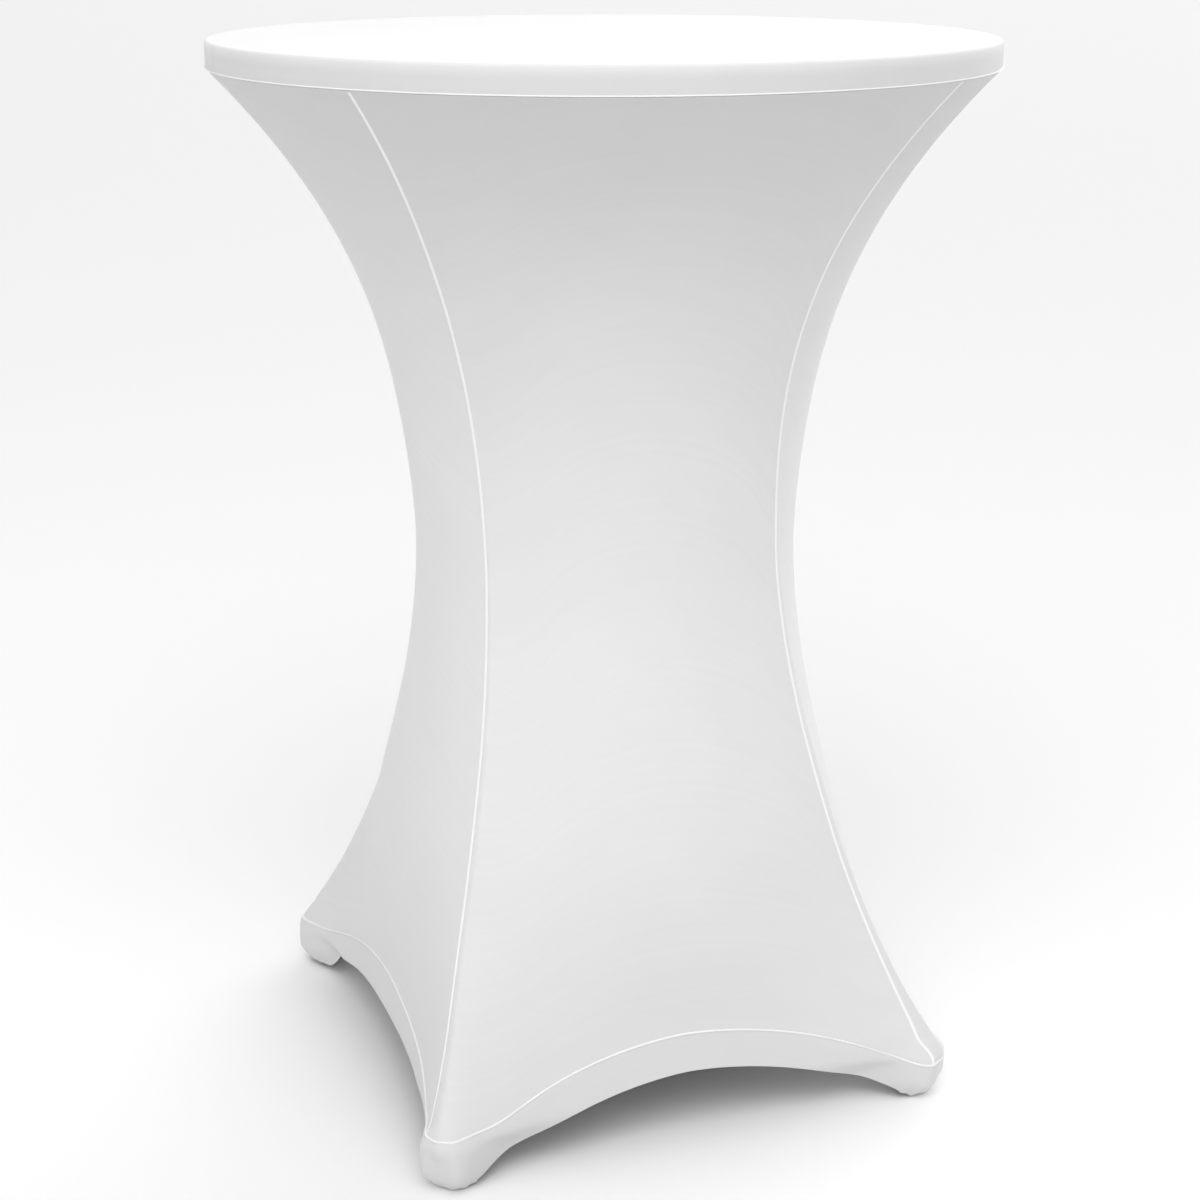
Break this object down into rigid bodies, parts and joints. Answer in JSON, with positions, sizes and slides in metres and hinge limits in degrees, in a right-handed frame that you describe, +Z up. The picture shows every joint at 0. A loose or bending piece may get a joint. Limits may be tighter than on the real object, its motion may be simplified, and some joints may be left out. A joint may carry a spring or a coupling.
{
  "type": "round bar table with fitted stretch tablecloth",
  "caption": "Round bar-height pedestal table in a white fitted stretch tablecloth: flat top, waisted skirt in seamed panels, arched hem and pockets over the feet of a cross base.",
  "frame": {"origin": "on the floor under the middle of the top, with the glides screwed fully in", "axes": "+Z up along the column; the four feet stand on the diagonals between X and Y, and the cover's four side panels face -Y (front), +X (right), +Y (back) and -X (left)"},
  "size_m": [0.8049, 0.805, 1.1026],
  "materials": {
    "stretch_knit": "fine white polyester and elastane warp knit, slight sheen",
    "seam_thread": "white overlocked seam with topstitching",
    "sole_cloth": "doubled white knit, scuffed where it meets the floor",
    "laminated_board": "pale melamine-faced particle board",
    "edge_plastic": "satin edge band",
    "cast_iron_black": "black painted casting",
    "coated_steel": "black fine-texture powder coat",
    "zinc_steel": "zinc plated",
    "cap_plastic": "moulded black plastic",
    "glide_nylon": "moulded nylon"
  },
  "bodies": {
    "table": {"cover_top_panel": "stretch_knit", "cover_rim_seam": "seam_thread", "side_panel_front": "stretch_knit", "side_panel_right": "stretch_knit", "side_panel_back": "stretch_knit", "side_panel_left": "stretch_knit", "hem_band_front": "stretch_knit", "hem_band_right": "stretch_knit", "hem_band_back": "stretch_knit", "hem_band_left": "stretch_knit", "corner_seam_front_right": "seam_thread", "corner_seam_back_right": "seam_thread", "corner_seam_back_left": "seam_thread", "corner_seam_front_left": "seam_thread", "foot_pocket_front_right": "stretch_knit", "foot_pocket_back_right": "stretch_knit", "foot_pocket_back_left": "stretch_knit", "foot_pocket_front_left": "stretch_knit", "table_top_board": "laminated_board", "table_edge_band": "edge_plastic", "top_spider": "cast_iron_black", "spider_screws": "zinc_steel", "column_tube": "coated_steel", "tie_rod": "zinc_steel", "tie_rod_nut": "zinc_steel", "tie_rod_washer": "zinc_steel", "base_top_plate": "coated_steel", "base_bottom_plate": "coated_steel", "base_bolts": "zinc_steel", "base_arm_front_right": "coated_steel", "base_arm_back_right": "coated_steel", "base_arm_back_left": "coated_steel", "base_arm_front_left": "coated_steel", "arm_end_cap_front_right": "cap_plastic", "arm_end_cap_back_right": "cap_plastic", "arm_end_cap_back_left": "cap_plastic", "arm_end_cap_front_left": "cap_plastic", "glide_nut_front_right": "zinc_steel", "glide_nut_back_right": "zinc_steel", "glide_nut_back_left": "zinc_steel", "glide_nut_front_left": "zinc_steel"},
    "glide_front_right": {"glide_stud_front_right": "zinc_steel", "glide_pad_front_right": "glide_nylon", "pocket_sole_front_right": "sole_cloth"},
    "glide_back_right": {"glide_stud_back_right": "zinc_steel", "glide_pad_back_right": "glide_nylon", "pocket_sole_back_right": "sole_cloth"},
    "glide_back_left": {"glide_stud_back_left": "zinc_steel", "glide_pad_back_left": "glide_nylon", "pocket_sole_back_left": "sole_cloth"},
    "glide_front_left": {"glide_stud_front_left": "zinc_steel", "glide_pad_front_left": "glide_nylon", "pocket_sole_front_left": "sole_cloth"}
  },
  "joints": [
    {"name": "glide_front_right_height", "type": "slide", "parent": "table", "child": "glide_front_right", "axis": [0, 0, -1], "range_m": [0, 0.012]},
    {"name": "glide_back_right_height", "type": "slide", "parent": "table", "child": "glide_back_right", "axis": [0, 0, -1], "range_m": [0, 0.012]},
    {"name": "glide_back_left_height", "type": "slide", "parent": "table", "child": "glide_back_left", "axis": [0, 0, -1], "range_m": [0, 0.012]},
    {"name": "glide_front_left_height", "type": "slide", "parent": "table", "child": "glide_front_left", "axis": [0, 0, -1], "range_m": [0, 0.012]}
  ]
}
